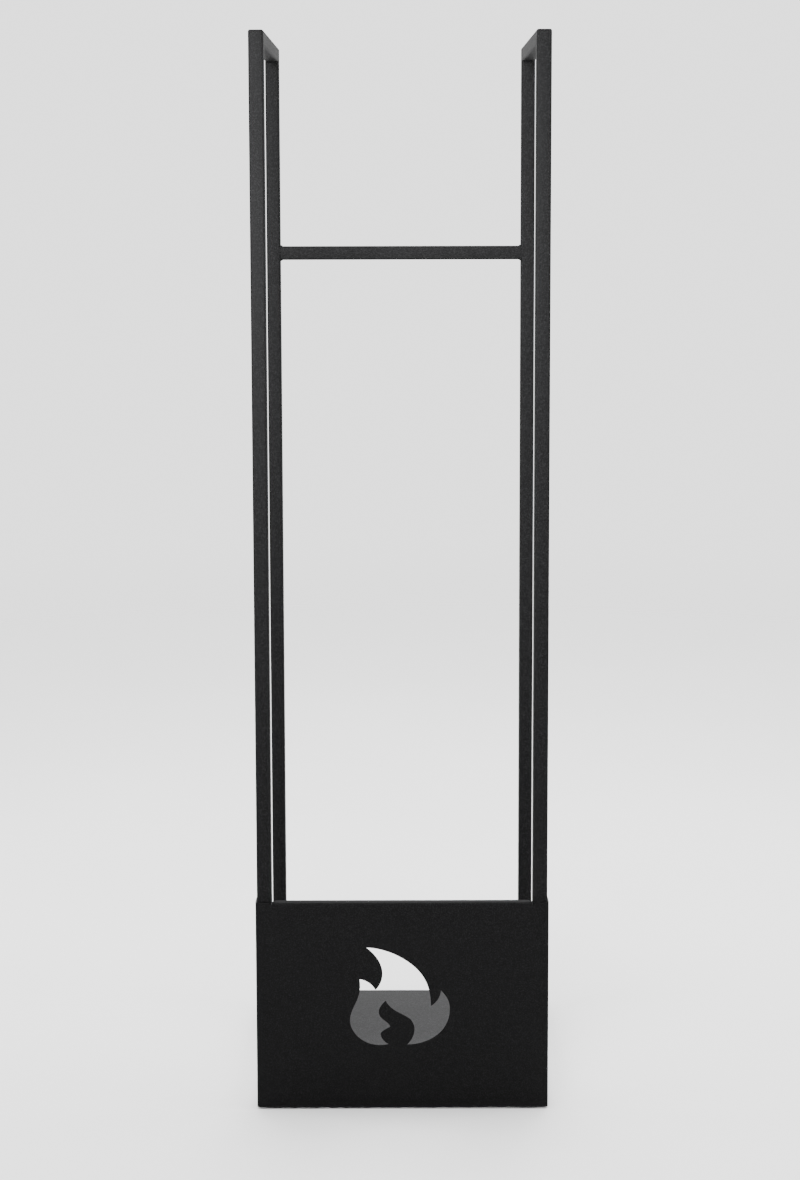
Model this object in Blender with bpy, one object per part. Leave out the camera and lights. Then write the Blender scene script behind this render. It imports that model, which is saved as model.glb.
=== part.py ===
"""Firewood log rack: a tall, slim welded steel frame with a folded front panel and a log tray.

Metres, +Z up. The origin is on the floor, under the middle of the rack. The front panel faces -Y
and the rack's right side, seen from the front, is at +X.
"""

import math

import bmesh
import bpy
from mathutils import Matrix, Vector

# Overall size
HEIGHT = 1.100
WIDTH = 0.300  # over the panel's side flanges
DEPTH = 0.250  # from the panel's face to the back of the rear posts

# Stock
TUBE = 0.015  # square steel tube
TUBE_WALL = 0.0012
TUBE_CORNER = 0.0018  # outside corner radius
SHEET = 0.0012
FIT = 0.0003  # clearance between pieces that touch

# Frame
GLIDE_LIFT = 0.003  # the frame stands this far off the floor
UPPER_CROSSBAR_Z = 0.875  # middle of the bar between the rear posts
LOWER_CROSSBAR_Z = 0.118

# Front panel
PANEL_BOTTOM = 0.002
PANEL_TOP = 0.220
PANEL_BEND = 0.002  # outside bend radius
FLANGE_DEPTH = 0.0165
LIP_DEPTH = 0.008  # the lip folded back along the top, between the posts
STUD_HEIGHTS = (0.045, 0.190)

# Fasteners
STUD_RADIUS = 0.0025
STUD_HOLE_RADIUS = 0.0029
WASHER_RADIUS = 0.005
WASHER_THICKNESS = 0.001
NUT_ACROSS_FLATS = 0.008
NUT_HEIGHT = 0.004
NUT_DOME = 0.0035
NUT_RIM = 0.92  # the dome's radius against the hexagon's
GLIDE_RADIUS = 0.0065
GLIDE_STEM_RADIUS = 0.0026
GLIDE_STEM = 0.007
GLIDE_CHAMFER = 0.0008
GLIDE_INSET = 0.030  # from the ends of a side frame
CUT_PAST = 0.001  # how far a cutter runs past the surface it cuts
SINK = 0.0005  # how far a piece to be fused reaches into the other

# Positions that follow from the sizes above
POST_X = WIDTH / 2 - SHEET - FIT - TUBE / 2
INNER_X = POST_X - TUBE / 2
OUTER_X = POST_X + TUBE / 2
FRAME_FRONT = -DEPTH / 2 + SHEET + FIT
FRAME_BACK = DEPTH / 2
FRONT_POST_Y = FRAME_FRONT + TUBE / 2
REAR_POST_Y = FRAME_BACK - TUBE / 2
RAIL_TOP = GLIDE_LIFT + TUBE
TRAY_UNDERSIDE = RAIL_TOP + FIT
TRAY_TOP = TRAY_UNDERSIDE + SHEET

SIDES = (("left", -1), ("right", 1))
ENDS = (("front", FRAME_FRONT, 1), ("rear", FRAME_BACK, -1))

# The flame, in millimetres from its middle: a start point, then curves as (handle, handle, end).
FLAME_CENTRE = (-0.0025, 0.1200)  # X and Z on the panel
FLAME_START = (-34.5, 52.5)
FLAME_CURVES = (
    ((-18, 52), (0, 45), (14, 33)),
    ((25, 23.5), (32, 10), (31.9, -9.6)),
    ((38, -6), (41.5, 0), (42.2, 6.9)),
    ((47, 2), (51.3, -4), (51.3, -13)),
    ((51.3, -36), (32, -50.5), (7.3, -51.1)),
    ((15, -43), (16.5, -35), (13.5, -28)),
    ((10, -18.5), (-8, -18), (-14.5, -4.1)),
    ((-22.5, -11), (-24.5, -18), (-17.2, -24.1)),
    ((-12.5, -27.5), (-10, -30), (-10, -31.9)),
    ((-14.5, -34.5), (-18.5, -36), (-20, -39.3)),
    ((-19.5, -44), (-16, -48.5), (-11.3, -50.4)),
    ((-34, -56), (-51.3, -40), (-51.3, -25)),
    ((-51.3, -10), (-38, -3), (-41.3, 19)),
    ((-33.5, 17.5), (-28.5, 13.5), (-25, 7.5)),
    ((-13.5, 19), (-15, 38), (-34.5, 52.5)),
)
FLAME_STEPS = 7  # points on each curve


def clear_scene():
    for obj in list(bpy.data.objects):
        bpy.data.objects.remove(obj, do_unlink=True)


def material(name, colour, roughness, metallic):
    made = bpy.data.materials.new(name)
    made.use_nodes = True
    shader = made.node_tree.nodes["Principled BSDF"]
    shader.inputs["Base Color"].default_value = (*colour, 1.0)
    shader.inputs["Roughness"].default_value = roughness
    shader.inputs["Metallic"].default_value = metallic
    return made


def object_from(name, bm, finish, smooth_angle=None):
    """Makes an object from a bmesh and frees the bmesh."""
    bmesh.ops.recalc_face_normals(bm, faces=bm.faces)
    mesh = bpy.data.meshes.new(name)
    bm.to_mesh(mesh)
    bm.free()
    mesh.materials.append(finish)
    if smooth_angle is not None:
        mesh.shade_smooth()
        mesh.set_sharp_from_angle(angle=math.radians(smooth_angle))
    obj = bpy.data.objects.new(name, mesh)
    bpy.context.scene.collection.objects.link(obj)
    return obj


def as_cutter(obj):
    obj.hide_render = True
    obj.display_type = "WIRE"
    return obj


def boolean(target, operation, other):
    cut = target.modifiers.new(f"{operation.lower()}_{other.name}", "BOOLEAN")
    cut.operation = operation
    cut.solver = "EXACT"
    cut.object = other
    as_cutter(other)


def rounded_square(side, radius, steps=4):
    """Points of a square with round corners, counter-clockwise, centred on the origin."""
    points = []
    inset = side / 2 - radius
    for corner in range(4):
        middle = Vector((inset, inset))
        middle.rotate(Matrix.Rotation(corner * math.pi / 2, 2))
        for step in range(steps + 1):
            angle = (corner + step / steps) * math.pi / 2
            points.append(middle + radius * Vector((math.cos(angle), math.sin(angle))))
    return points


def tube(name, start, end, inward, mitred, finish):
    """A square tube from start to end. A mitred tube is longest on the side away from inward."""
    along = (end - start).normalized()
    across = along.cross(inward)
    bm = bmesh.new()
    rings = []
    pull_back = FIT / 2 * (math.sqrt(2) if mitred else 1)
    for middle, sign in ((start, 1), (end, -1)):
        for side, radius in (
            (TUBE, TUBE_CORNER),
            (TUBE - 2 * TUBE_WALL, TUBE_CORNER - TUBE_WALL),
        ):
            ring = []
            for u, v in rounded_square(side, radius):
                slope = (TUBE / 2 + u) if mitred else 0.0
                shift = along * sign * (slope + pull_back)
                ring.append(bm.verts.new(middle + inward * u + across * v + shift))
            rings.append(ring)
    count = len(rings[0])
    for first, second in ((0, 2), (1, 3), (0, 1), (2, 3)):
        for i in range(count):
            j = (i + 1) % count
            corners = (rings[first][i], rings[first][j], rings[second][j], rings[second][i])
            bm.faces.new(corners)
    return object_from(name, bm, finish, smooth_angle=40)


def cylinder(name, radius, low, high, finish, segments=24):
    """A round bar along Z from low to high, at the origin in X and Y."""
    return turned(name, ((0, low), (radius, low), (radius, high), (0, high)), finish, segments)


def turned(name, profile, finish, segments=24):
    """A solid turned about Z. The profile's points are (radius, z), and radius 0 is on the axis."""
    bm = bmesh.new()
    previous = None
    rings = []
    for radius, z in profile:
        if radius == 0:
            rings.append([bm.verts.new((0, 0, z))])
            continue
        turn = [2 * math.pi * i / segments for i in range(segments)]
        rings.append([bm.verts.new((radius * math.cos(a), radius * math.sin(a), z)) for a in turn])
    closed = profile[0][0] > 0
    if closed:
        rings.append(rings[0])
    for ring in rings:
        if previous:
            join_rings(bm, previous, ring)
        previous = ring
    return object_from(name, bm, finish, smooth_angle=35)


def join_rings(bm, lower, upper):
    """Faces between two rings, or between a ring and a point."""
    count = max(len(lower), len(upper))
    for i in range(count):
        j = (i + 1) % count
        if len(lower) == 1:
            bm.faces.new((lower[0], upper[j], upper[i]))
        elif len(upper) == 1:
            bm.faces.new((lower[i], lower[j], upper[0]))
        else:
            bm.faces.new((lower[i], lower[j], upper[j], upper[i]))


def prism(name, outline, low, high, finish, axis="Z"):
    """An outline pushed from low to high. Its points are (X, Y), or (X, Z) where the axis is Y."""
    bm = bmesh.new()
    if axis == "Z":
        bottom = [bm.verts.new((u, v, low)) for u, v in outline]
    else:
        bottom = [bm.verts.new((u, low, v)) for u, v in outline]
    face = bm.faces.new(bottom)
    pushed = bmesh.ops.extrude_face_region(bm, geom=[face])
    moved = [item for item in pushed["geom"] if isinstance(item, bmesh.types.BMVert)]
    travel = (0, 0, high - low) if axis == "Z" else (0, high - low, 0)
    bmesh.ops.translate(bm, verts=moved, vec=travel)
    return object_from(name, bm, finish)


def hexagon(across_flats):
    radius = across_flats / math.sqrt(3)
    turn = [math.pi / 3 * i for i in range(6)]
    return [(radius * math.cos(a), radius * math.sin(a)) for a in turn]


def place(obj, location, rotation=(0, 0, 0)):
    obj.location = location
    obj.rotation_euler = rotation
    return obj


def copy_of(obj, name, location, rotation=(0, 0, 0)):
    """Another object that shares a mesh with the first."""
    made = bpy.data.objects.new(name, obj.data)
    bpy.context.scene.collection.objects.link(made)
    return place(made, location, rotation)


def flame_outline():
    """The flame's outline on the panel, as (X, Z) points."""
    points = []
    start = Vector(FLAME_START)
    for first, second, last in FLAME_CURVES:
        first, second, last = Vector(first), Vector(second), Vector(last)
        for step in range(FLAME_STEPS):
            t = step / FLAME_STEPS
            near, far = (1 - t) ** 2, t**2
            point = near * (1 - t) * start + 3 * near * t * first
            points.append(point + 3 * (1 - t) * far * second + far * t * last)
        start = last
    return [(FLAME_CENTRE[0] + u / 1000, FLAME_CENTRE[1] + v / 1000) for u, v in points]


def bent_corner(centre, radius, first_angle, last_angle, steps=4):
    """Points on an arc, with the angles in degrees."""
    points = []
    for step in range(steps + 1):
        angle = math.radians(first_angle + (last_angle - first_angle) * step / steps)
        x = centre[0] + radius * math.cos(angle)
        y = centre[1] + radius * math.sin(angle)
        points.append((x, y))
    return points


def panel_outline():
    """The panel seen from above: a front sheet with a flange round each post."""
    half, front = WIDTH / 2, -DEPTH / 2
    back = front + FLANGE_DEPTH
    inner_bend = PANEL_BEND - SHEET
    bend_x, bend_y = half - PANEL_BEND, front + PANEL_BEND
    outside = bent_corner((bend_x, bend_y), PANEL_BEND, -90, 0)
    inside = bent_corner((bend_x, bend_y), inner_bend, 0, -90)
    right = outside + [(half, back), (half - SHEET, back)] + inside
    left = [(-x, y) for x, y in reversed(right)]
    return right + left


def front_panel(finish):
    panel = prism("front_panel", panel_outline(), PANEL_BOTTOM, PANEL_TOP, finish)
    lip_half = INNER_X - FIT
    lip_front = -DEPTH / 2 + SHEET / 2
    lip_back = -DEPTH / 2 + LIP_DEPTH
    corners = (
        (-lip_half, lip_front),
        (lip_half, lip_front),
        (lip_half, lip_back),
        (-lip_half, lip_back),
    )
    lip = prism("panel_top_lip", corners, PANEL_TOP - SHEET, PANEL_TOP, finish)
    boolean(panel, "UNION", lip)
    flame_front = -DEPTH / 2 - CUT_PAST
    flame_back = -DEPTH / 2 + SHEET + CUT_PAST
    flame = prism("flame_cutter", flame_outline(), flame_front, flame_back, finish, "Y")
    boolean(panel, "DIFFERENCE", flame)
    return panel


def log_tray(finish):
    """A flat sheet on the base rails, cut back round the four posts."""
    wide, narrow = OUTER_X, INNER_X - FIT
    front, back = FRAME_FRONT + FIT, FRAME_BACK
    post_back, post_front = FRAME_FRONT + TUBE + 2 * FIT, FRAME_BACK - TUBE - 2 * FIT
    right = [
        (narrow, front),
        (narrow, post_back),
        (wide, post_back),
        (wide, post_front),
        (narrow, post_front),
        (narrow, back),
    ]
    outline = right + [(-x, y) for x, y in reversed(right)]
    return prism("log_tray", outline, TRAY_UNDERSIDE, TRAY_TOP, finish)


def drill(target, name, location, radius, depth, rotation=(0, 0, 0)):
    """Cuts a round hole from its mouth, along Z before it is turned."""
    finish = target.data.materials[0]
    tool = cylinder(name, radius, -CUT_PAST, depth + CUT_PAST, finish, segments=20)
    place(tool, location, rotation)
    boolean(target, "DIFFERENCE", tool)


def side_frames(finish):
    """Two mitred rectangles of tube, each of two posts and two rails."""
    made = {}
    low, high = GLIDE_LIFT + TUBE / 2, HEIGHT - TUBE / 2
    forward, back = Vector((0, -1, 0)), Vector((0, 1, 0))
    up, down = Vector((0, 0, 1)), Vector((0, 0, -1))
    half = Vector((0, 0, TUBE / 2))
    overrun = Vector((0, TUBE / 2, 0))
    for side, sign in SIDES:
        x = sign * POST_X
        bottom_front = Vector((x, FRONT_POST_Y, low))
        top_front = Vector((x, FRONT_POST_Y, high))
        bottom_rear = Vector((x, REAR_POST_Y, low))
        top_rear = Vector((x, REAR_POST_Y, high))
        members = (
            (f"front_post_{side}", bottom_front - half, top_front + half, back),
            (f"rear_post_{side}", bottom_rear - half, top_rear + half, forward),
            (f"top_rail_{side}", top_front - overrun, top_rear + overrun, down),
            (f"base_rail_{side}", bottom_front - overrun, bottom_rear + overrun, up),
        )
        for name, start, end, inward in members:
            made[name] = tube(name, start, end, inward, True, finish)
    return made


def crossbars(finish):
    """Tubes between the left and right side frames, cut square."""
    rows = (
        ("base_crossbar_front", FRONT_POST_Y, GLIDE_LIFT + TUBE / 2),
        ("base_crossbar_rear", REAR_POST_Y, GLIDE_LIFT + TUBE / 2),
        ("rear_crossbar_lower", REAR_POST_Y, LOWER_CROSSBAR_Z),
        ("rear_crossbar_upper", REAR_POST_Y, UPPER_CROSSBAR_Z),
    )
    reach = INNER_X - FIT / 2
    for name, y, z in rows:
        start, end = Vector((-reach, y, z)), Vector((reach, y, z))
        tube(name, start, end, Vector((0, 0, 1)), False, finish)


def dome_nut_profile(steps=5):
    """Half of a dome nut's closed end, from its hexagon up to the dome."""
    rim = NUT_ACROSS_FLATS / 2 * NUT_RIM
    points = [(0, NUT_HEIGHT - SINK), (rim, NUT_HEIGHT - SINK), (rim, NUT_HEIGHT)]
    for step in range(1, steps):
        angle = math.pi / 2 * step / steps
        points.append((rim * math.cos(angle), NUT_HEIGHT + NUT_DOME * math.sin(angle)))
    return points + [(0, NUT_HEIGHT + NUT_DOME)]


def dome_nut(name, finish):
    """A dome nut on Z = 0, opening downwards for its stud."""
    nut = prism(name, hexagon(NUT_ACROSS_FLATS), 0, NUT_HEIGHT, finish)
    dome = turned(f"{name}_dome", dome_nut_profile(), finish)
    bore = cylinder(f"{name}_bore", STUD_RADIUS + FIT, -CUT_PAST, NUT_HEIGHT + FIT, finish)
    boolean(nut, "UNION", dome)
    boolean(nut, "DIFFERENCE", bore)
    for helper in (dome, bore):
        helper.parent = nut
    return nut


def panel_fixings(posts, steel):
    """Studs on the back of the panel pass through the front posts to a washer and a dome nut."""
    backwards = (-math.pi / 2, 0, 0)  # turns +Z to +Y
    start = -DEPTH / 2 + SHEET + FIT
    washer_y = FRAME_FRONT + TUBE + FIT
    nut_y = washer_y + WASHER_THICKNESS + FIT
    stud_length = nut_y + NUT_HEIGHT - start
    washer_bore = STUD_RADIUS + FIT
    washer_profile = (
        (washer_bore, 0),
        (WASHER_RADIUS, 0),
        (WASHER_RADIUS, WASHER_THICKNESS),
        (washer_bore, WASHER_THICKNESS),
    )
    for side, sign in SIDES:
        post = posts[f"front_post_{side}"]
        for row, z in zip(("lower", "upper"), STUD_HEIGHTS):
            label = f"{row}_{side}"
            x = sign * POST_X
            mouth = (x, FRAME_FRONT, z)
            drill(post, f"stud_hole_{label}", mouth, STUD_HOLE_RADIUS, TUBE, backwards)
            stud = cylinder(f"panel_stud_{label}", STUD_RADIUS, 0, stud_length, steel)
            place(stud, (x, start, z), backwards)
            washer = turned(f"panel_washer_{label}", washer_profile, steel)
            place(washer, (x, washer_y, z), backwards)
            place(dome_nut(f"panel_dome_nut_{label}", steel), (x, nut_y, z), backwards)


def floor_glides(rails, rubber):
    """A soft foot under each end of a base rail, with a stem pressed up into the tube."""
    foot_top = GLIDE_LIFT - FIT
    profile = (
        (0, 0),
        (GLIDE_RADIUS - GLIDE_CHAMFER, 0),
        (GLIDE_RADIUS, GLIDE_CHAMFER),
        (GLIDE_RADIUS, foot_top),
        (GLIDE_STEM_RADIUS, foot_top),
        (GLIDE_STEM_RADIUS, foot_top + GLIDE_STEM),
        (0, foot_top + GLIDE_STEM),
    )
    for side, sign in SIDES:
        rail = rails[f"base_rail_{side}"]
        for end, edge, inward in ENDS:
            label = f"{end}_{side}"
            x, y = sign * POST_X, edge + inward * GLIDE_INSET
            mouth, bore = (x, y, GLIDE_LIFT), GLIDE_STEM_RADIUS + FIT
            drill(rail, f"glide_hole_{label}", mouth, bore, TUBE_WALL)
            place(turned(f"floor_glide_{label}", profile, rubber), (x, y, 0))


def main():
    clear_scene()
    coat = material("black_powder_coat", (0.018, 0.018, 0.019), 0.55, 0.0)
    steel = material("black_zinc_steel", (0.06, 0.06, 0.065), 0.4, 1.0)
    rubber = material("black_rubber", (0.02, 0.02, 0.02), 0.8, 0.0)
    frame = side_frames(coat)
    crossbars(coat)
    front_panel(coat)
    log_tray(coat)
    panel_fixings(frame, steel)
    floor_glides(frame, rubber)


main()
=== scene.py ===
"""Looks of the firewood log rack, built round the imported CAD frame.

Metres, +Z up, in the CAD's own frame: the front panel faces -Y. Every tube, sheet, fixing and floor
glide is rebuilt finely in its CAD node's box, and the welds that hold the tubes together are added.
"""

import math

import bmesh
import bpy
from mathutils import Matrix, Vector
from mathutils.geometry import delaunay_2d_cdt


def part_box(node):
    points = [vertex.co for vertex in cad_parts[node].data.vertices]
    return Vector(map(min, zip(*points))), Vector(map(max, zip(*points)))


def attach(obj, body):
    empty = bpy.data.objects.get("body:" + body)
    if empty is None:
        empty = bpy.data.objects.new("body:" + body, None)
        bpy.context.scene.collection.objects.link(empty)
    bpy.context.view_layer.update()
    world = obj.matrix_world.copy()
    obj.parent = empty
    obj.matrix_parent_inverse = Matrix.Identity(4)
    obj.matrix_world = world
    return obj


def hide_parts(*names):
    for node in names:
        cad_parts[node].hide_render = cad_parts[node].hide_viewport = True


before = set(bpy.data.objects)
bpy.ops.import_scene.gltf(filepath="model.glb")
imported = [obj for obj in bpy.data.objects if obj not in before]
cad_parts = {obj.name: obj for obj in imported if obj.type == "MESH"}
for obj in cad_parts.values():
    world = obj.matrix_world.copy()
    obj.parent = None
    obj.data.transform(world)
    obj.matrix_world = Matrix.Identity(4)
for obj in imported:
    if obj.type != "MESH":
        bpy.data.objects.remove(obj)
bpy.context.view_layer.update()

SAME_POINT = 1e-7  # points closer than this count as one

# Stock and finish sizes that the boxes don't give
TUBE = 0.015
TUBE_CORNER = 0.0020
TUBE_FLAT = TUBE - 2 * TUBE_CORNER
EDGE_ROUND = 0.0023  # the dressed edge across a mitred corner
JOINT_GAP = 0.00022  # the CAD's clearance at a mitre, closed here
BUTT_GAP = 0.00015  # the same where a crossbar meets a post
SHEET = 0.0012
SHEET_BEND = 0.0020  # the outer radius
BEND_LENGTH = math.pi / 2 * SHEET_BEND  # along the skin, round a bend
SHEET_EDGE = 0.00028  # how far the coat rounds a cut edge
LIP_CLEARANCE = 0.0003  # between the lip and a post
LIP_WIDTH = 0.0060  # the flat of the panel's top lip, past its bend
LIP_CHAMFER = 0.0040
RELIEF = 0.0012  # width of the notch beside the folded lip
CORNER_CUT = 0.0008  # at the corners of the panel's side flanges
NOTCH_GAP = 0.0006  # between the tray and a post
TRAY_CORNER = 0.0015

# Floor glides, studs, washers and dome nuts
GLIDE_HEIGHT = 0.0027
GLIDE_RIM = 0.0009  # how its lower and its upper edge are rounded
GLIDE_EDGE = 0.0004
STEM = 0.0026  # the radius of its stem
STEM_TIP = 0.0008
STUD_TIP = 0.0006
WASHER_BORE = 0.0028
WASHER_EDGE = 0.00018
NUT_BORE = 0.0027
NUT_DEPTH = 0.0034  # of the bore
NUT_HEXAGON = 0.0040  # the height of the hexagon under the cap
NUT_CHAMFER = 0.0004
NUT_STEP = 0.0001  # between the hexagon's top and the cap
NUT_SHOULDER = 0.985  # the shoulder's and the cap's radius, as shares of the hexagon's inner one
NUT_CAP = 0.92
NUT_SEGMENTS = 48

# Weld beads
RIPPLE_PITCH = 0.0014
RIPPLE_DEPTH = 0.07
BEAD_SIDES = 10
CROSSBAR_STATIONS = 150
FULL_BEAD = (0.00030, -0.00035, 0.00150)  # sunk into the tube, shifted towards the post, radius
GROUND_BEAD = (0.00095, 0.00065, 0.00108)  # the same where it is ground flush
CORNER_STATIONS = 40
CORNER_BEAD = 0.0013  # the radius
CORNER_LIFT = 0.00025  # from the corner to the bead's middle
CORNER_INSET = 0.0006  # from the tube's side to the bead's end
CORNER_TIP = 0.12  # the end's radius, as a share of the bead's
CORNER_TAPER = 8  # the power that keeps the bead full nearly to its ends

# Surfaces: noise scales, and colours from the darkest to the lightest speck
COAT_GRAIN, COAT_PEEL, COAT_CLOUD = 950, 260, 14
COAT_COLOURS = ((0.0036, 0.0036, 0.0038), (0.0150, 0.0150, 0.0156))
ZINC_BLOTCH, ZINC_MARK = 420, 2600
ZINC_COLOURS = ((0.045, 0.045, 0.050), (0.085, 0.085, 0.090))
RUBBER_GRAIN = 1400
RUBBER_COLOURS = ((0.012, 0.012, 0.012), (0.022, 0.021, 0.020))
FLOOR_CLOUD = 1.3
FLOOR_COLOURS = ((0.78, 0.78, 0.78), (0.82, 0.82, 0.82))

# Studio
FLOOR_FADE = (0.7, 3.2)  # from where to where the floor fades out
FLOOR_MARGIN = 0.1  # how far the floor goes on past its fade
WORLD_LIGHT = (0.12, 1.8)  # from the dark side of the studio to the bright side
LIT_FROM = (0.0, 0.95, 0.31)  # the direction of the bright side
WORLD_TURN = (-0.1, 0.9)  # the cosines from that direction at which dark and bright are reached
WORLD_SEEN = 2.2  # how bright the studio looks to the camera

# Camera, fitted to the photograph's framing. More shift would fit it better, but would push the rack out
# of frame when it is seen from other sides.
CAMERA_PLACE = (0.0010, -2.0, 0.9384)
CAMERA_TURN = (84.168, 0.143, 0.041)  # degrees
CAMERA_LENS = 57.92
CAMERA_SENSOR = 36
CAMERA_SHIFT = -0.17

# The flame, in millimetres from its middle, as in the CAD: a start, then curves as (handle, handle, end).
FLAME_CENTRE = (-0.0025, 0.1200)  # X and Z on the panel, in metres
FLAME_START = (-34.5, 52.5)
FLAME_CURVES = (
    ((-18, 52), (0, 45), (14, 33)),
    ((25, 23.5), (32, 10), (31.9, -9.6)),
    ((38, -6), (41.5, 0), (42.2, 6.9)),
    ((47, 2), (51.3, -4), (51.3, -13)),
    ((51.3, -36), (32, -50.5), (7.3, -51.1)),
    ((15, -43), (16.5, -35), (13.5, -28)),
    ((10, -18.5), (-8, -18), (-14.5, -4.1)),
    ((-22.5, -11), (-24.5, -18), (-17.2, -24.1)),
    ((-12.5, -27.5), (-10, -30), (-10, -31.9)),
    ((-14.5, -34.5), (-18.5, -36), (-20, -39.3)),
    ((-19.5, -44), (-16, -48.5), (-11.3, -50.4)),
    ((-34, -56), (-51.3, -40), (-51.3, -25)),
    ((-51.3, -10), (-38, -3), (-41.3, 19)),
    ((-33.5, 17.5), (-28.5, 13.5), (-25, 7.5)),
    ((-13.5, 19), (-15, 38), (-34.5, 52.5)),
)

SIDES = ("left", "right")
UP, DOWN = Vector((0, 0, 1)), Vector((0, 0, -1))
BACK, FORWARD = Vector((0, 1, 0)), Vector((0, -1, 0))
RIGHT = Vector((1, 0, 0))


# Node trees ---------------------------------------------------------------------------------------


def smooth_range(node, *limits):
    """Sets up a Map Range node with a soft start and end."""
    node.interpolation_type = "SMOOTHSTEP"
    for socket, number in zip(("From Min", "From Max", "To Min", "To Max"), limits):
        node.inputs[socket].default_value = number


class Nodes:
    """A short way to build a material's node tree."""

    def __init__(self, name):
        self.material = bpy.data.materials.new(name)
        self.material.use_nodes = True
        self.tree = self.material.node_tree
        self.shader = self.tree.nodes["Principled BSDF"]

    def add(self, kind, **inputs):
        """A new node, with values or links for its inputs by name."""
        node = self.tree.nodes.new(kind)
        for key, value in inputs.items():
            self.set(node, key.replace("_", " "), value)
        return node

    def set(self, node, socket, value):
        """Links an output to an input, or gives the input a plain value."""
        target = node.inputs[socket]
        if isinstance(value, bpy.types.NodeSocket):
            self.tree.links.new(value, target)
        else:
            target.default_value = value

    def noise(self, scale, detail=2.0, roughness=0.5, offset=(0, 0, 0)):
        """Noise over the object, its pattern moved by the offset."""
        where = self.add("ShaderNodeMapping")
        self.tree.links.new(self.add("ShaderNodeTexCoord").outputs["Object"], where.inputs["Vector"])
        where.inputs["Location"].default_value = offset
        noise = self.add("ShaderNodeTexNoise", Scale=scale, Detail=detail, Roughness=roughness)
        self.tree.links.new(where.outputs["Vector"], noise.inputs["Vector"])
        return noise.outputs["Fac"]

    def spread(self, value, low, high, from_low=0.3, from_high=0.7):
        """Maps a value in from_low..from_high to low..high."""
        node = self.add("ShaderNodeMapRange")
        smooth_range(node, from_low, from_high, low, high)
        self.tree.links.new(value, node.inputs["Value"])
        return node.outputs["Result"]

    def blend(self, factor, first, second):
        """A colour between two colours."""
        node = self.add("ShaderNodeMix")
        node.data_type = "RGBA"
        self.tree.links.new(factor, node.inputs["Factor"])
        for socket, value in (("A", first), ("B", second)):
            target = next(s for s in node.inputs if s.name == socket and s.type == "RGBA")
            target.default_value = (*value, 1.0)
        return next(s for s in node.outputs if s.type == "RGBA")

    def bump(self, height, distance, strength=1.0, normal=None):
        """Relief from a height, on top of another bump if one is given."""
        node = self.add("ShaderNodeBump", Strength=strength, Distance=distance)
        self.tree.links.new(height, node.inputs["Height"])
        if normal is not None:
            self.tree.links.new(normal, node.inputs["Normal"])
        return node.outputs["Normal"]


def powder_coat(name, offset, painted_lighting_tone=1.0, gloss=0.05):
    """Matt black powder coat: a fine sandy grain over a soft orange peel, a little uneven in gloss.

    The offset moves the pattern, the painted lighting tone scales the colours, painting light or shade into
    a copy of the coat, and gloss is the specular level.
    """
    nodes = Nodes(name)
    grain = nodes.noise(COAT_GRAIN, detail=4, roughness=0.75, offset=offset)
    peel = nodes.noise(COAT_PEEL, detail=2, offset=offset)
    cloud = nodes.noise(COAT_CLOUD, detail=3, roughness=0.55, offset=offset)
    dark, light = (tuple(channel * painted_lighting_tone for channel in colour) for colour in COAT_COLOURS)
    speck = nodes.spread(grain, 0.0, 1.0, from_low=0.44, from_high=0.68)
    nodes.set(nodes.shader, "Base Color", nodes.blend(speck, dark, light))
    mottled = nodes.add("ShaderNodeMath")
    mottled.operation = "ADD"
    nodes.set(mottled, 0, nodes.spread(cloud, 0.54, 0.57))
    nodes.set(mottled, 1, nodes.spread(grain, -0.03, 0.05))
    nodes.set(nodes.shader, "Roughness", mottled.outputs[0])
    soft = nodes.bump(peel, distance=0.00010, strength=0.35)
    rough = nodes.bump(grain, distance=0.00012, strength=0.55, normal=soft)
    nodes.set(nodes.shader, "Normal", rough)
    nodes.shader.inputs["Specular IOR Level"].default_value = gloss
    return nodes.material


def black_zinc(name):
    """Black zinc plate: dark metal with faint blotches and fine marks."""
    nodes = Nodes(name)
    blotch = nodes.noise(ZINC_BLOTCH, detail=3, roughness=0.6)
    mark = nodes.noise(ZINC_MARK, detail=2)
    tint = nodes.blend(nodes.spread(blotch, 0, 1), *ZINC_COLOURS)
    nodes.set(nodes.shader, "Base Color", tint)
    nodes.set(nodes.shader, "Roughness", nodes.spread(blotch, 0.30, 0.44))
    nodes.set(nodes.shader, "Normal", nodes.bump(mark, distance=0.00003, strength=0.4))
    nodes.shader.inputs["Metallic"].default_value = 1.0
    return nodes.material


def soft_rubber(name):
    """Matt black rubber with a fine grain."""
    nodes = Nodes(name)
    grain = nodes.noise(RUBBER_GRAIN, detail=3, roughness=0.6)
    tint = nodes.blend(nodes.spread(grain, 0, 1), *RUBBER_COLOURS)
    nodes.set(nodes.shader, "Base Color", tint)
    nodes.set(nodes.shader, "Roughness", nodes.spread(grain, 0.72, 0.86))
    nodes.set(nodes.shader, "Normal", nodes.bump(grain, distance=0.00008, strength=0.5))
    return nodes.material


# Making pieces ------------------------------------------------------------------------------------


def piece_from(name, bm, finish, replaced=(), smooth_angle=35.0):
    """Turns a bmesh into a finished piece that rides on the rack."""
    bmesh.ops.recalc_face_normals(bm, faces=bm.faces)
    mesh = bpy.data.meshes.new(name)
    bm.to_mesh(mesh)
    bm.free()
    mesh.materials.append(finish)
    mesh.shade_smooth()
    mesh.set_sharp_from_angle(angle=math.radians(smooth_angle))
    piece = bpy.data.objects.new(name, mesh)
    bpy.context.scene.collection.objects.link(piece)
    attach(piece, "root")
    if replaced:
        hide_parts(*replaced)
    return piece


def round_edges(piece, width, segments=2, angle=40.0):
    """Rounds the edges where faces turn by more than the angle."""
    bevel = piece.modifiers.new("round_edges", "BEVEL")
    bevel.width = width
    bevel.segments = segments
    bevel.limit_method = "ANGLE"
    bevel.angle_limit = math.radians(angle)
    bevel.harden_normals = True
    return piece


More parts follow.
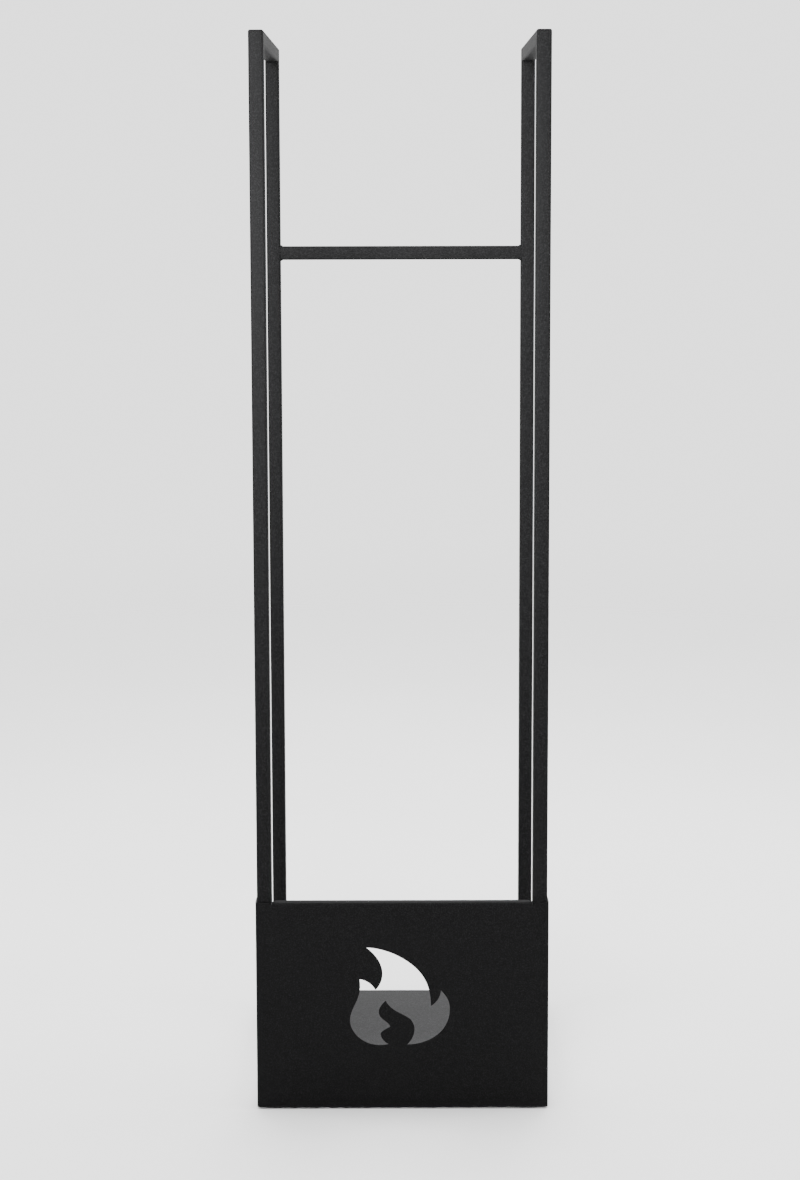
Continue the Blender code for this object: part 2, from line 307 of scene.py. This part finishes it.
def full_turn(count):
    """Angles evenly spaced round a full turn."""
    return [2 * math.pi * i / count for i in range(count)]


def ring_faces(bm, rings, closed_ends=True):
    """Skins rings of equal length, with a flat face at each end."""
    for first, second in zip(rings, rings[1:]):
        count = len(first)
        for i in range(count):
            j = (i + 1) % count
            bm.faces.new((first[i], first[j], second[j], second[i]))
    if closed_ends:
        bm.faces.new(rings[0])
        bm.faces.new(rings[-1])


# Tubes --------------------------------------------------------------------------------------------


def tube_section(steps=6):
    """The tube's outside, as (inset from its outer face, sideways) points."""
    points = []
    inset = TUBE / 2 - TUBE_CORNER
    for corner in range(4):
        middle = Vector((inset, inset))
        middle.rotate(Matrix.Rotation(corner * math.pi / 2, 2))
        for step in range(steps + 1):
            angle = (corner + step / steps) * math.pi / 2
            inwards = middle.x + TUBE_CORNER * math.cos(angle)
            sideways = middle.y + TUBE_CORNER * math.sin(angle)
            points.append((TUBE / 2 + inwards, sideways))
    return points


def mitred_ring(inset, steps=3):
    """How far along the tube and how deep a section point lies, from the mitre to the straight."""
    if inset >= EDGE_ROUND:
        return [(inset, inset)] * (steps + 1)
    radius = EDGE_ROUND - inset
    path = []
    for step in range(steps + 1):
        angle = math.pi / 4 * (1 - step / steps)
        path.append((EDGE_ROUND - radius * math.sin(angle), EDGE_ROUND - radius * math.cos(angle)))
    return path


def mitred_tube(node, inward, finish):
    """A tube of a side frame, mitred at both ends. inward points into the frame's opening."""
    low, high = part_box(node)
    size = high - low
    axis = max(range(3), key=lambda i: size[i])
    along = Vector([1.0 if i == axis else 0.0 for i in range(3)])
    across = along.cross(inward)
    middle = (low + high) / 2
    length = size[axis] + 2 * JOINT_GAP
    outer = middle - inward * TUBE / 2
    start = outer - along * length / 2
    section = tube_section()
    paths = [mitred_ring(inset) for inset, _ in section]
    steps = range(len(paths[0]))
    bm = bmesh.new()
    rings = []
    for step, far_end in [(step, False) for step in steps] + [(step, True) for step in reversed(steps)]:
        ring = []
        for path, (_, sideways) in zip(paths, section):
            travel, depth = path[step]
            if far_end:
                travel = length - travel
            ring.append(bm.verts.new(start + along * travel + inward * depth + across * sideways))
        rings.append(ring)
    ring_faces(bm, rings)
    bmesh.ops.remove_doubles(bm, verts=bm.verts, dist=SAME_POINT)
    return piece_from(f"{node}_tube", bm, finish, [node])


def square_cut_tube(node, finish):
    """A crossbar, cut square and butted to the posts at both ends."""
    low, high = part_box(node)
    middle = (low + high) / 2
    bm = bmesh.new()
    rings = []
    for x in (low.x - BUTT_GAP, high.x + BUTT_GAP):
        ring = [
            bm.verts.new((x, middle.y + inset - TUBE / 2, middle.z + sideways))
            for inset, sideways in tube_section()
        ]
        rings.append(ring)
    ring_faces(bm, rings)
    return piece_from(f"{node}_tube", bm, finish, [node])


# Welds --------------------------------------------------------------------------------------------


def bead(name, stations, finish, closed):
    """A weld bead with a rippled skin. A station is (centre, first direction, second direction, radius)."""
    bm = bmesh.new()
    rings = []
    travelled = 0.0
    previous = stations[0][0]
    for centre, first, second, radius in stations:
        travelled += (centre - previous).length
        previous = centre
        ripple = abs(math.sin(math.pi * travelled / RIPPLE_PITCH))
        grown = radius * (1 - RIPPLE_DEPTH + RIPPLE_DEPTH * ripple)
        ring = [
            bm.verts.new(centre + grown * (math.cos(angle) * first + math.sin(angle) * second))
            for angle in full_turn(BEAD_SIDES)
        ]
        rings.append(ring)
    if closed:
        rings.append(rings[0])
    ring_faces(bm, rings, closed_ends=not closed)
    return piece_from(name, bm, finish, smooth_angle=70)


def crossbar_weld(node, side, finish):
    """A bead round a crossbar's end: full above and below, ground back where the tubes are flush."""
    low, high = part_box(node)
    middle = (low + high) / 2
    outward = -1 if side == "left" else 1
    face = low.x - BUTT_GAP if side == "left" else high.x + BUTT_GAP
    along = Vector((outward, 0, 0))
    lap = 4 * TUBE_FLAT + 2 * math.pi * TUBE_CORNER
    stations = []
    for i in range(CROSSBAR_STATIONS):
        y, z, normal = round_the_tube(lap * i / CROSSBAR_STATIONS)
        full = abs(normal.z) ** 2
        sink, shift, radius = (
            ground * (1 - full) + proud * full for ground, proud in zip(GROUND_BEAD, FULL_BEAD)
        )
        centre = Vector((face, middle.y + y, middle.z + z)) - normal * sink + along * shift
        stations.append((centre, normal, along, radius))
    return bead(f"weld_{node}_{side}", stations, finish, closed=True)


def round_the_tube(distance):
    """Where a point lies that has gone this far round a tube's outside, and which way it faces."""
    quarter = TUBE_FLAT + math.pi * TUBE_CORNER / 2
    turn = int(distance // quarter)
    rest = distance - turn * quarter
    if rest < TUBE_FLAT:
        y, z, angle = TUBE / 2, -TUBE_FLAT / 2 + rest, 0.0
    else:
        angle = (rest - TUBE_FLAT) / TUBE_CORNER
        y = TUBE / 2 - TUBE_CORNER + TUBE_CORNER * math.cos(angle)
        z = TUBE / 2 - TUBE_CORNER + TUBE_CORNER * math.sin(angle)
    spin = Matrix.Rotation(turn * math.pi / 2, 2)
    place, normal = Vector((y, z)), Vector((math.cos(angle), math.sin(angle)))
    place.rotate(spin)
    normal.rotate(spin)
    return place.x, place.y, Vector((0, normal.x, normal.y))


def corner_weld(name, corner, first, second, finish):
    """A short bead across the inside of a mitred corner. first and second point along the two tubes."""
    half = TUBE / 2 - CORNER_INSET
    between = (first + second).normalized()
    stations = []
    for i in range(CORNER_STATIONS + 1):
        t = -1 + 2 * i / CORNER_STATIONS
        taper = max(CORNER_TIP, 1 - abs(t) ** CORNER_TAPER)
        centre = corner + between * CORNER_LIFT + RIGHT * half * t
        stations.append((centre, between, RIGHT.cross(between), CORNER_BEAD * taper))
    return bead(name, stations, finish, closed=False)


# Sheet metal --------------------------------------------------------------------------------------


def flame_outline(steps=14):
    """The flame's outline on the panel, as (X, Z) points."""
    points = []
    start = Vector(FLAME_START)
    for handles in FLAME_CURVES:
        first, second, last = (Vector(handle) for handle in handles)
        for step in range(steps):
            t = step / steps
            near, far = (1 - t) ** 2, t**2
            point = near * (1 - t) * start + 3 * near * t * first
            points.append(point + 3 * (1 - t) * far * second + far * t * last)
        start = last
    return [Vector((FLAME_CENTRE[0] + p.x / 1000, FLAME_CENTRE[1] + p.y / 1000)) for p in points]


def inside(point, outline):
    """True if the point is within the outline."""
    found = False
    for a, b in zip(outline, outline[1:] + outline[:1]):
        if (a.y > point.y) != (b.y > point.y):
            if point.x < a.x + (point.y - a.y) * (b.x - a.x) / (b.y - a.y):
                found = not found
    return found


class FoldedPanel:
    """The front panel as a flat blank that folds back round the posts, with a lip along its top."""

    def __init__(self):
        self.low, self.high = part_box("front_panel")
        post_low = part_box("front_post_right")[0]
        self.half = self.high.x
        self.lip_half = post_low.x - LIP_CLEARANCE
        self.bend_x = self.half - SHEET_BEND
        self.bend_top = self.high.z - SHEET_BEND
        self.flange = self.high.y - self.low.y - SHEET_BEND

    def blank(self):
        """The blank's outline, right half then left half."""
        far = self.bend_x + BEND_LENGTH + self.flange
        lip_top = self.bend_top + BEND_LENGTH + LIP_WIDTH
        slot = self.lip_half + RELIEF
        right = [
            (far - CORNER_CUT, self.low.z),
            (far, self.low.z + CORNER_CUT),
            (far, self.high.z - CORNER_CUT),
            (far - CORNER_CUT, self.high.z),
            (slot, self.high.z),
            (slot, self.bend_top - RELIEF / 2),
            (self.lip_half, self.bend_top - RELIEF / 2),
            (self.lip_half, lip_top - LIP_CHAMFER),
            (self.lip_half - LIP_CHAMFER, lip_top),
        ]
        return [Vector(p) for p in right] + [Vector((-x, z)) for x, z in reversed(right)]

    def creases(self, steps=6):
        """Lines across the blank where it bends."""
        lines = []
        for step in range(steps + 1):
            travel = BEND_LENGTH * step / steps
            for sign in (-1, 1):
                x = sign * (self.bend_x + travel)
                lines.append((Vector((x, self.low.z)), Vector((x, self.high.z))))
            z = self.bend_top + travel
            lines.append((Vector((-self.lip_half, z)), Vector((self.lip_half, z))))
        return lines

    def fold(self, point):
        """Where a point of the blank's outer skin goes when the panel is folded."""
        x, z = point
        y = self.low.y
        turned_back, x = bent(abs(x) - self.bend_x, abs(x), self.half, math.copysign(1, x))
        y += turned_back
        if abs(point.x) <= self.lip_half + SAME_POINT:
            turned_back, z = bent(z - self.bend_top, z, self.high.z, 1)
            y += turned_back
        return Vector((x, y, z))


def bent(past, place, limit, sign):
    """The way back and the new place of a point that lies past a bend's start."""
    if past <= 0:
        return 0.0, sign * place
    if past < BEND_LENGTH:
        angle = past / SHEET_BEND
        return SHEET_BEND * (1 - math.cos(angle)), sign * (limit - SHEET_BEND * (1 - math.sin(angle)))
    return SHEET_BEND + past - BEND_LENGTH, sign * limit


def flat_mesh(outline, holes, lines):
    """Triangles that fill an outline round its holes, with edges along the lines."""
    points, edges = [], []
    for loop in [outline, *holes]:
        first = len(points)
        points += loop
        edges += [(first + i, first + (i + 1) % len(loop)) for i in range(len(loop))]
    for start, end in lines:
        points += [start, end]
        edges.append((len(points) - 2, len(points) - 1))
    made, _, faces, *_ = delaunay_2d_cdt(points, edges, [], 0, SAME_POINT)
    kept = []
    for face in faces:
        middle = sum((made[i] for i in face), Vector((0, 0))) / len(face)
        if inside(middle, outline) and not any(inside(middle, hole) for hole in holes):
            kept.append(face)
    return made, kept


def thicken(piece):
    """Gives a skin the sheet's thickness, inwards, and rounds its cut edges."""
    solid = piece.modifiers.new("sheet", "SOLIDIFY")
    solid.thickness = SHEET
    solid.offset = -1.0
    solid.use_even_offset = True
    return round_edges(piece, SHEET_EDGE)


def front_panel(finish):
    """The panel's sheet, cut flat with its flame and then folded."""
    panel = FoldedPanel()
    points, faces = flat_mesh(panel.blank(), [flame_outline()], panel.creases())
    bm = bmesh.new()
    verts = [bm.verts.new(panel.fold(point)) for point in points]
    for face in faces:
        bm.faces.new([verts[i] for i in face])
    loose = [vert for vert in bm.verts if not vert.link_faces]
    bmesh.ops.delete(bm, geom=loose, context="VERTS")
    bmesh.ops.dissolve_limit(bm, angle_limit=math.radians(1), verts=bm.verts, edges=bm.edges)
    sheet = piece_from("front_panel_sheet", bm, finish, ["front_panel"])
    return thicken(face_forward(sheet))


def face_forward(piece):
    """Turns an open skin's faces outwards: the largest one faces -Y or +Z."""
    mesh = piece.data
    largest = max(mesh.polygons, key=lambda polygon: polygon.area)
    if largest.normal.y > 0.5 or largest.normal.z < -0.5:
        mesh.flip_normals()
    return piece


def log_tray(finish):
    """The tray's sheet, notched round the posts."""
    low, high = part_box("log_tray")
    post_low, post_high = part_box("front_post_right")
    rear_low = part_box("rear_post_right")[0]
    narrow = post_low.x - NOTCH_GAP
    right = [
        (narrow - TRAY_CORNER, low.y),
        (narrow, low.y + TRAY_CORNER),
        (narrow, post_high.y + NOTCH_GAP),
        (high.x - TRAY_CORNER, post_high.y + NOTCH_GAP),
        (high.x, post_high.y + NOTCH_GAP + TRAY_CORNER),
        (high.x, rear_low.y - NOTCH_GAP - TRAY_CORNER),
        (high.x - TRAY_CORNER, rear_low.y - NOTCH_GAP),
        (narrow, rear_low.y - NOTCH_GAP),
        (narrow, high.y - TRAY_CORNER),
        (narrow - TRAY_CORNER, high.y),
    ]
    outline = right + [(-x, y) for x, y in reversed(right)]
    bm = bmesh.new()
    bm.faces.new([bm.verts.new((x, y, high.z)) for x, y in outline])
    sheet = piece_from("log_tray_sheet", bm, finish, ["log_tray"])
    return thicken(face_forward(sheet))


# Small turned pieces ------------------------------------------------------------------------------


def named(start):
    """The CAD nodes whose names start this way."""
    return sorted(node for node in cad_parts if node.startswith(start))


def round_ring(bm, radius, z, segments):
    """A circle of points round the axis, at a height."""
    points = [(radius * math.cos(angle), radius * math.sin(angle), z) for angle in full_turn(segments)]
    return [bm.verts.new(point) for point in points]


def turned(profile, segments=40):
    """A bmesh turned about Z from (radius, z) points. Radius 0 is a point on the axis."""
    bm = bmesh.new()
    previous = None
    for radius, z in profile:
        if radius == 0:
            ring = [bm.verts.new((0, 0, z))]
        else:
            ring = round_ring(bm, radius, z, segments)
        if previous:
            join_rings(bm, previous, ring)
        previous = ring
    return bm


def join_rings(bm, lower, upper):
    """Skins two rings. Either may be a single point on the axis."""
    count = max(len(lower), len(upper))
    for i in range(count):
        j = (i + 1) % count
        if len(lower) == 1:
            bm.faces.new((lower[0], upper[j], upper[i]))
        elif len(upper) == 1:
            bm.faces.new((lower[i], lower[j], upper[0]))
        else:
            bm.faces.new((lower[i], lower[j], upper[j], upper[i]))


def arc(centre, radius, first, last, steps):
    """(radius, z) points on an arc, with the angles in degrees."""
    points = []
    for step in range(steps + 1):
        angle = math.radians(first + (last - first) * step / steps)
        points.append((centre[0] + radius * math.cos(angle), centre[1] + radius * math.sin(angle)))
    return points


def lay_back(bm, node):
    """Turns a bmesh from +Z to +Y and moves it to where its CAD node starts."""
    low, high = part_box(node)
    middle = (low + high) / 2
    place = Matrix.Translation((middle.x, low.y, middle.z))
    bmesh.ops.transform(bm, matrix=place @ Matrix.Rotation(-math.pi / 2, 4, "X"), verts=bm.verts)


def floor_glide(node, finish):
    """A soft foot with a rounded rim and a stem up into the base rail."""
    low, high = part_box(node)
    middle = (low + high) / 2
    radius, top = (high.x - low.x) / 2, high.z - low.z
    profile = [(0, 0), (radius - GLIDE_RIM, 0)]
    profile += arc((radius - GLIDE_RIM, GLIDE_RIM), GLIDE_RIM, -90, 0, 4)[1:]
    profile += arc((radius - GLIDE_EDGE, GLIDE_HEIGHT - GLIDE_EDGE), GLIDE_EDGE, 0, 90, 3)
    profile += [
        (STEM + GLIDE_EDGE, GLIDE_HEIGHT),
        (STEM, GLIDE_HEIGHT + GLIDE_EDGE),
        (STEM, top - STEM_TIP),
        (STEM - STEM_TIP, top),
        (0, top),
    ]
    bm = turned(profile)
    bmesh.ops.translate(bm, vec=(middle.x, middle.y, low.z), verts=bm.verts)
    return piece_from(f"{node}_foot", bm, finish, [node])


def hexagon_reach(angle, radius):
    """How far a hexagon with this corner radius reaches in a direction."""
    within = (angle % (math.pi / 3)) - math.pi / 6
    return radius * math.cos(math.pi / 6) / math.cos(within)


def stud(node, finish):
    """A stud's plain shank, with a chamfered tip inside the dome nut."""
    low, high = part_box(node)
    radius, length = (high.x - low.x) / 2, high.y - low.y
    tip = [(radius, length - STUD_TIP), (radius - STUD_TIP, length)]
    bm = turned([(0, 0), (radius, 0), *tip, (0, length)])
    lay_back(bm, node)
    return piece_from(f"{node}_shank", bm, finish, [node])


def washer(node, finish):
    """A flat ring with its outer edges taken off."""
    low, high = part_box(node)
    outer, thickness = (high.x - low.x) / 2, high.y - low.y
    profile = [
        (WASHER_BORE, thickness),
        (WASHER_BORE, 0),
        (outer - WASHER_EDGE, 0),
        (outer, WASHER_EDGE),
        (outer, thickness - WASHER_EDGE),
        (outer - WASHER_EDGE, thickness),
        (WASHER_BORE, thickness),
    ]
    bm = turned(profile)
    bmesh.ops.remove_doubles(bm, verts=bm.verts, dist=SAME_POINT)
    lay_back(bm, node)
    return piece_from(f"{node}_ring", bm, finish, [node])


def hexagon_ring(bm, flat_radius, z, lift):
    """A hexagon's outline at a height, its corners lifted by a chamfer."""
    corner = flat_radius / math.cos(math.pi / 6)
    ring = []
    for angle in full_turn(NUT_SEGMENTS):
        reach = hexagon_reach(angle, corner)
        height = z + lift * (reach - flat_radius) / (corner - flat_radius)
        ring.append(bm.verts.new((reach * math.cos(angle), reach * math.sin(angle), height)))
    return ring


def dome_nut(node, finish):
    """A dome nut: a chamfered hexagon under a round cap, open where the stud goes in."""
    low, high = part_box(node)
    flat_radius, length = (high.z - low.z) / 2, high.y - low.y
    cap = flat_radius * NUT_CAP
    cap_start = NUT_HEXAGON + NUT_STEP
    circles = [(NUT_BORE, NUT_DEPTH), (NUT_BORE, 0.0), (flat_radius, 0.0)]
    bm = bmesh.new()
    rings = [round_ring(bm, radius, z, NUT_SEGMENTS) for radius, z in circles]
    rings.append(hexagon_ring(bm, flat_radius, NUT_CHAMFER, NUT_CHAMFER))
    rings.append(hexagon_ring(bm, flat_radius, NUT_HEXAGON - NUT_CHAMFER, -NUT_CHAMFER))
    rings.append(round_ring(bm, flat_radius * NUT_SHOULDER, NUT_HEXAGON, NUT_SEGMENTS))
    for degrees in range(0, 90, 10):
        angle = math.radians(degrees)
        z = cap_start + (length - cap_start) * math.sin(angle)
        rings.append(round_ring(bm, cap * math.cos(angle), z, NUT_SEGMENTS))
    for first, second in zip(rings, rings[1:]):
        join_rings(bm, first, second)
    bm.faces.new(rings[0])
    join_rings(bm, rings[-1], [bm.verts.new((0, 0, length))])
    lay_back(bm, node)
    return piece_from(f"{node}_cap", bm, finish, [node], smooth_angle=28)


# Assembly -----------------------------------------------------------------------------------------


def build_frame(coat):
    """Every tube, and the beads round the crossbars' ends."""
    for side in SIDES:
        mitred_tube(f"front_post_{side}", BACK, coat)
        mitred_tube(f"rear_post_{side}", FORWARD, coat)
        mitred_tube(f"top_rail_{side}", DOWN, coat)
        mitred_tube(f"base_rail_{side}", UP, coat)
    for node in named("base_crossbar") + named("rear_crossbar"):
        square_cut_tube(node, coat)
        for side in SIDES:
            crossbar_weld(node, side, coat)


def build_corner_welds(coat):
    """A bead inside each mitred corner of the side frames."""
    for side in SIDES:
        front_low, front_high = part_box(f"front_post_{side}")
        rear_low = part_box(f"rear_post_{side}")[0]
        x = (front_low.x + front_high.x) / 2
        under_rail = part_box(f"top_rail_{side}")[0].z
        over_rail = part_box(f"base_rail_{side}")[1].z
        for end, y, away in (("front", front_high.y, BACK), ("rear", rear_low.y, FORWARD)):
            corner_weld(f"weld_top_{end}_{side}", Vector((x, y, under_rail)), away, DOWN, coat)
            corner_weld(f"weld_base_{end}_{side}", Vector((x, y, over_rail)), away, UP, coat)


def build_fixings(zinc, rubber):
    """The floor glides, and what holds the panel to the posts."""
    for node in named("floor_glide"):
        floor_glide(node, rubber)
    for node in named("panel_washer"):
        washer(node, zinc)
    for node in named("panel_dome_nut"):
        dome_nut(node, zinc)
    for node in named("panel_stud"):
        stud(node, zinc)


# Studio -------------------------------------------------------------------------------------------


def studio_floor():
    """A pale floor round the rack that fades into the bright surroundings further out."""
    nodes = Nodes("studio_floor")
    cloud = nodes.noise(FLOOR_CLOUD, detail=2)
    tint = nodes.blend(nodes.spread(cloud, 0, 1), *FLOOR_COLOURS)
    nodes.set(nodes.shader, "Base Color", tint)
    nodes.shader.inputs["Roughness"].default_value = 0.85
    nodes.shader.inputs["Specular IOR Level"].default_value = 0.2
    reach = nodes.add("ShaderNodeVectorMath")
    reach.operation = "LENGTH"
    nodes.tree.links.new(nodes.add("ShaderNodeTexCoord").outputs["Object"], reach.inputs[0])
    fade = nodes.spread(reach.outputs["Value"], 1.0, 0.0, *FLOOR_FADE)
    nodes.set(nodes.shader, "Alpha", fade)
    bm = bmesh.new()
    bmesh.ops.create_circle(bm, cap_ends=True, radius=FLOOR_FADE[1] + FLOOR_MARGIN, segments=96)
    mesh = bpy.data.meshes.new("studio_floor")
    bm.to_mesh(mesh)
    bm.free()
    mesh.materials.append(nodes.material)
    floor = bpy.data.objects.new("studio_floor", mesh)
    bpy.context.scene.collection.objects.link(floor)


def softbox(name, place, aim, width, height, power, spread=180):
    """A rectangular lamp that the camera doesn't see. The spread of its light is in degrees."""
    light = bpy.data.lights.new(name, "AREA")
    light.spread = math.radians(spread)
    light.shape = "RECTANGLE"
    light.size, light.size_y = width, height
    light.energy = power
    lamp = bpy.data.objects.new(name, light)
    bpy.context.scene.collection.objects.link(lamp)
    lamp.location = place
    lamp.rotation_euler = (Vector(aim) - Vector(place)).to_track_quat("-Z", "Y").to_euler()
    lamp.visible_camera = False


def surroundings():
    """A white studio that looks evenly bright, and lights the rack from behind and from above."""
    world = bpy.data.worlds.new("studio")
    bpy.context.scene.world = world
    world.use_nodes = True
    tree = world.node_tree
    background = tree.nodes["Background"]
    background.inputs["Color"].default_value = (1.0, 1.0, 1.0, 1.0)
    direction = tree.nodes.new("ShaderNodeVectorMath")
    direction.operation = "DOT_PRODUCT"
    direction.inputs[1].default_value = LIT_FROM
    tree.links.new(tree.nodes.new("ShaderNodeTexCoord").outputs["Generated"], direction.inputs[0])
    light = tree.nodes.new("ShaderNodeMapRange")
    smooth_range(light, *WORLD_TURN, *WORLD_LIGHT)
    tree.links.new(direction.outputs["Value"], light.inputs["Value"])
    strength = tree.nodes.new("ShaderNodeMapRange")
    strength.inputs["To Max"].default_value = WORLD_SEEN
    tree.links.new(light.outputs["Result"], strength.inputs["To Min"])
    tree.links.new(tree.nodes.new("ShaderNodeLightPath").outputs["Is Camera Ray"], strength.inputs["Value"])
    tree.links.new(strength.outputs["Result"], background.inputs["Strength"])


def lights():
    """The surroundings and five softboxes: a key from the front, two sides, a back and a top."""
    surroundings()
    softbox("key", (-0.4, -1.5, 1.15), aim=(0, -0.12, 0.92), width=0.9, height=0.7, power=15.0, spread=64)
    for name, x in (("side_left", -2.1), ("side_right", 2.1)):
        softbox(name, (x, -0.1, 1.3), aim=(0, 0, 0.6), width=1.2, height=1.2, power=60)
    softbox("back", (0.3, 2.0, 2.4), aim=(0, 0, 0.7), width=1.6, height=1.0, power=30)
    softbox("top", (0, 0.4, 3.2), aim=(0, 0.3, 0), width=3.0, height=3.0, power=190)


def camera():
    """A view from the front, from a little under the rack's top, that looks slightly down."""
    data = bpy.data.cameras.new("camera")
    data.lens = CAMERA_LENS
    data.sensor_width = CAMERA_SENSOR
    data.shift_y = CAMERA_SHIFT
    eye = bpy.data.objects.new("camera", data)
    bpy.context.scene.collection.objects.link(eye)
    eye.location = CAMERA_PLACE
    eye.rotation_euler = [math.radians(angle) for angle in CAMERA_TURN]
    bpy.context.scene.camera = eye


def main():
    """Builds the rack and its studio."""
    coat = powder_coat("black_powder_coat", offset=(0, 0, 0))
    # The panel's copy of the coat is painted darker (0.8): painted shade, for the low panel in weaker
    # light.
    sheet_coat_painted_shade = powder_coat("black_powder_coat_sheet_painted_shade", offset=(3.1, 1.7, 0.4), painted_lighting_tone=0.8)
    zinc = black_zinc("black_zinc")
    rubber = soft_rubber("soft_rubber")
    build_frame(coat)
    build_corner_welds(coat)
    front_panel(sheet_coat_painted_shade)
    # The tray's copy of the coat is painted 2.4 times lighter: painted light, for a level sheet that
    # catches the top light.
    tray_coat_painted_light = powder_coat("black_powder_coat_tray_painted_light", offset=(1.3, 0.2, 2.4), painted_lighting_tone=2.4, gloss=0.14)
    log_tray(tray_coat_painted_light)
    build_fixings(zinc, rubber)
    studio_floor()
    lights()
    camera()


main()
bpy.context.view_layer.update()
